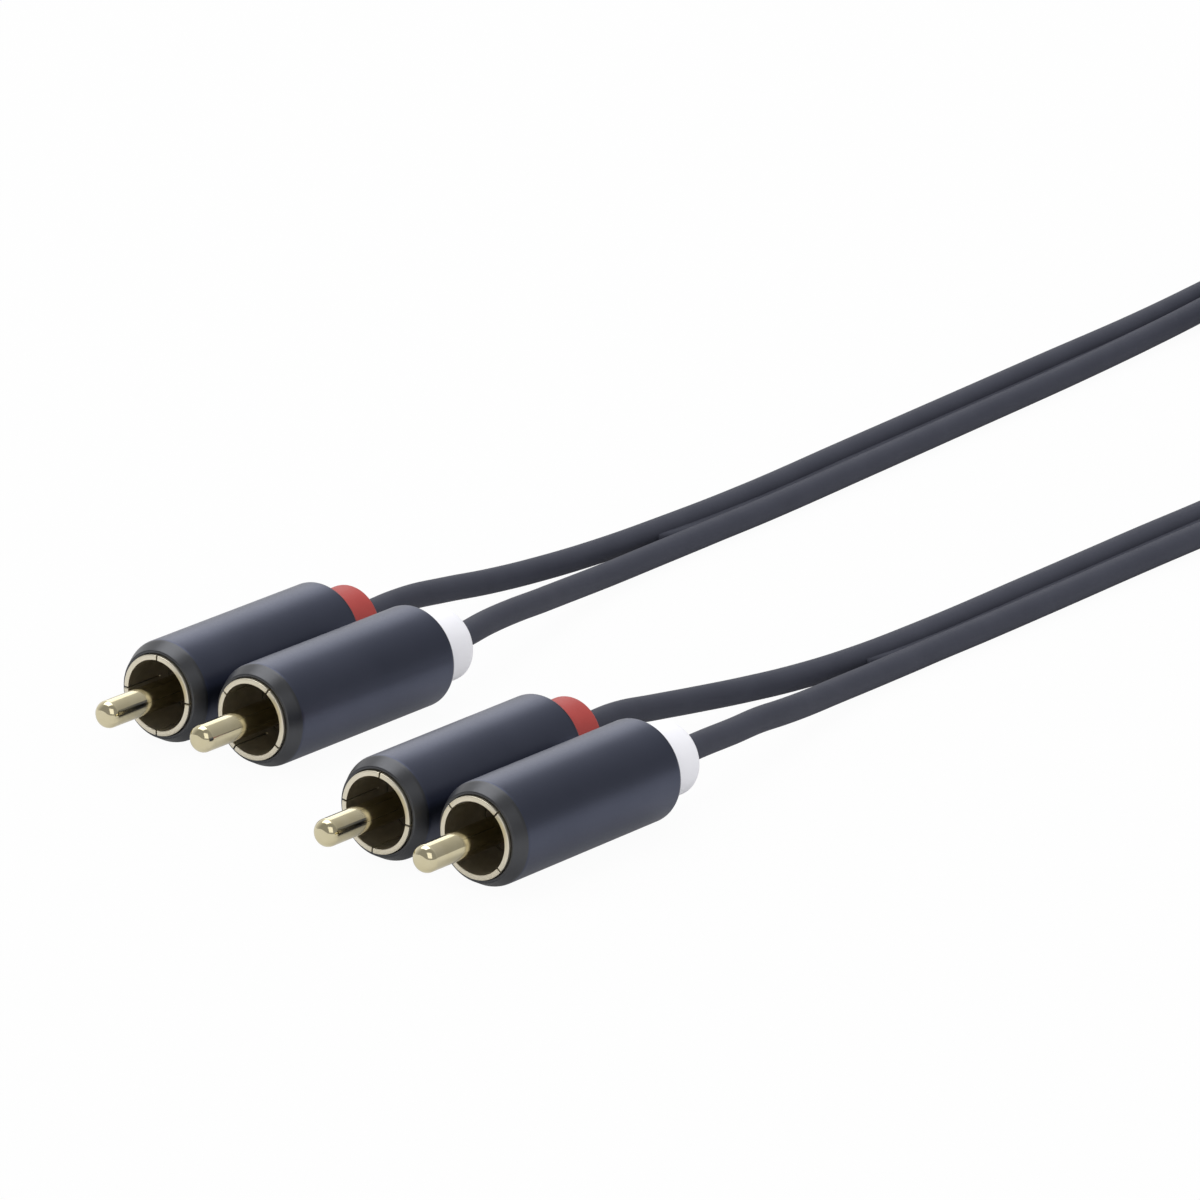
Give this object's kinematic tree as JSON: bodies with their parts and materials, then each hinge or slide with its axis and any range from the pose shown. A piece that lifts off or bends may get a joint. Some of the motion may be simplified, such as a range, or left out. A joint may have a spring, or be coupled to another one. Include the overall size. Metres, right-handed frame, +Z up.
{
  "type": "rca audio cable",
  "caption": "Stereo phono cable: twin lead with paired metal plugs, slotted ring contacts, pins and coloured sleeves.",
  "frame": {"origin": "on the floor, under the middle of the box round the four plugs", "axes": "+Z up, pins along -X, leads leaving along +X, the red plug of each pair on its +Y side"},
  "size_m": [0.2995, 0.0757, 0.012],
  "materials": {
    "barrel": "satin anodised",
    "gold": "gold plate",
    "insulator": "matte",
    "red_sleeve": "satin",
    "white_sleeve": "satin",
    "lead": "satin jacket",
    "core": "plain",
    "tie": "woven strap"
  },
  "bodies": {
    "root": {"end_a_red_barrel": "barrel", "end_a_red_contact": "gold", "end_a_red_insulator": "insulator", "end_a_red_pin": "gold", "end_a_red_sleeve": "red_sleeve", "end_a_red_core": "core", "end_a_white_barrel": "barrel", "end_a_white_contact": "gold", "end_a_white_insulator": "insulator", "end_a_white_pin": "gold", "end_a_white_sleeve": "white_sleeve", "end_a_white_core": "core", "end_b_red_barrel": "barrel", "end_b_red_contact": "gold", "end_b_red_insulator": "insulator", "end_b_red_pin": "gold", "end_b_red_sleeve": "red_sleeve", "end_b_red_core": "core", "end_b_white_barrel": "barrel", "end_b_white_contact": "gold", "end_b_white_insulator": "insulator", "end_b_white_pin": "gold", "end_b_white_sleeve": "white_sleeve", "end_b_white_core": "core", "lead_a_red": "lead", "lead_a_white": "lead", "lead_b_red": "lead", "lead_b_white": "lead", "coil": "lead", "tie_1": "tie", "tie_2": "tie"}
  },
  "joints": []
}
